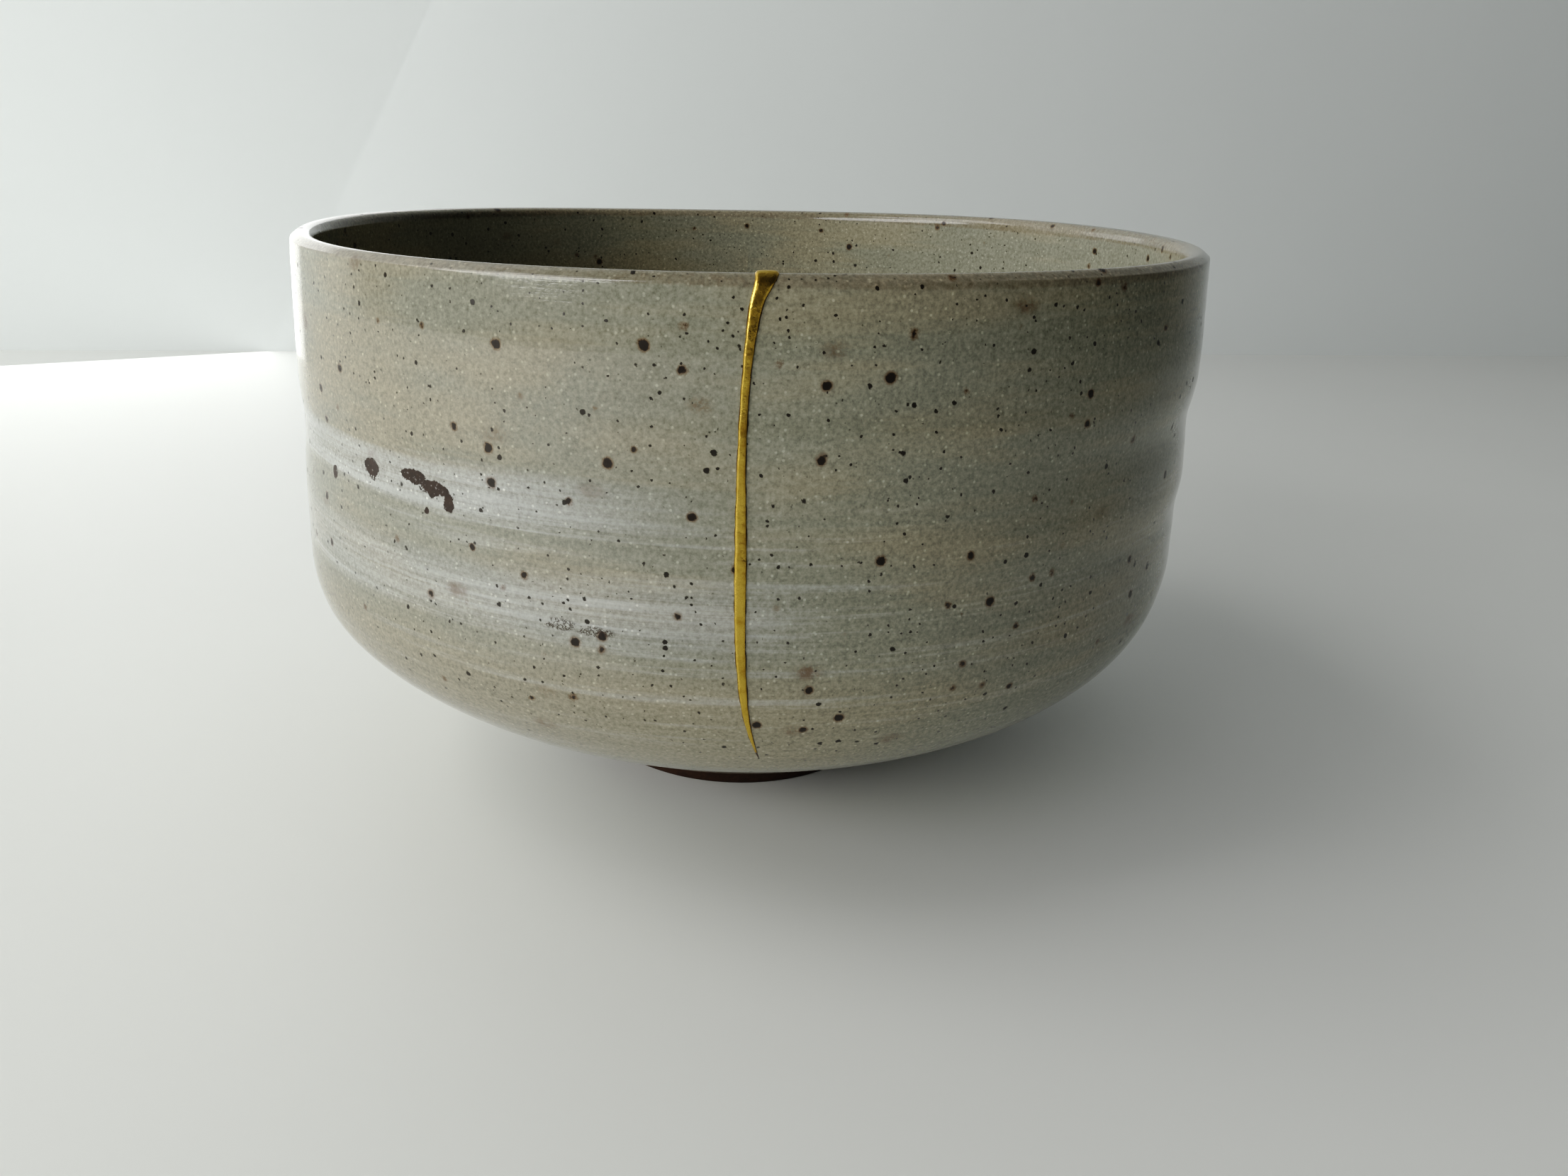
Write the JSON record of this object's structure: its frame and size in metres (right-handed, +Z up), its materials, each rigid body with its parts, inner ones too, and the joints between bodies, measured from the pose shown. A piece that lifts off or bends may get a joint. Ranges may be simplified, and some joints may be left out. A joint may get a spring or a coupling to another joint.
{
  "type": "kintsugi tea bowl",
  "caption": "Hand-thrown stoneware tea bowl on a low foot ring, speckled grey-beige glaze, with a crack mended by a raised gold seam from lip to belly.",
  "frame": {"origin": "middle of the bottom of the bowl, on the surface that its foot ring stands on", "axes": "+Z up along the bowl's turning axis, -Y towards the side with the gold seam, +X to the right of that side"},
  "size_m": [0.1256, 0.1259, 0.0771],
  "materials": {
    "stoneware": "semi-gloss grey-beige stoneware glaze with brown iron specks, rust halos and bare brown skips, over dark brown clay that is bare on the foot ring",
    "gold": "satin powdered gold over lacquer, slightly uneven, with a thin dark brown edge"
  },
  "bodies": {
    "root": {"bowl": "stoneware", "gold_seam": "gold"}
  },
  "joints": []
}
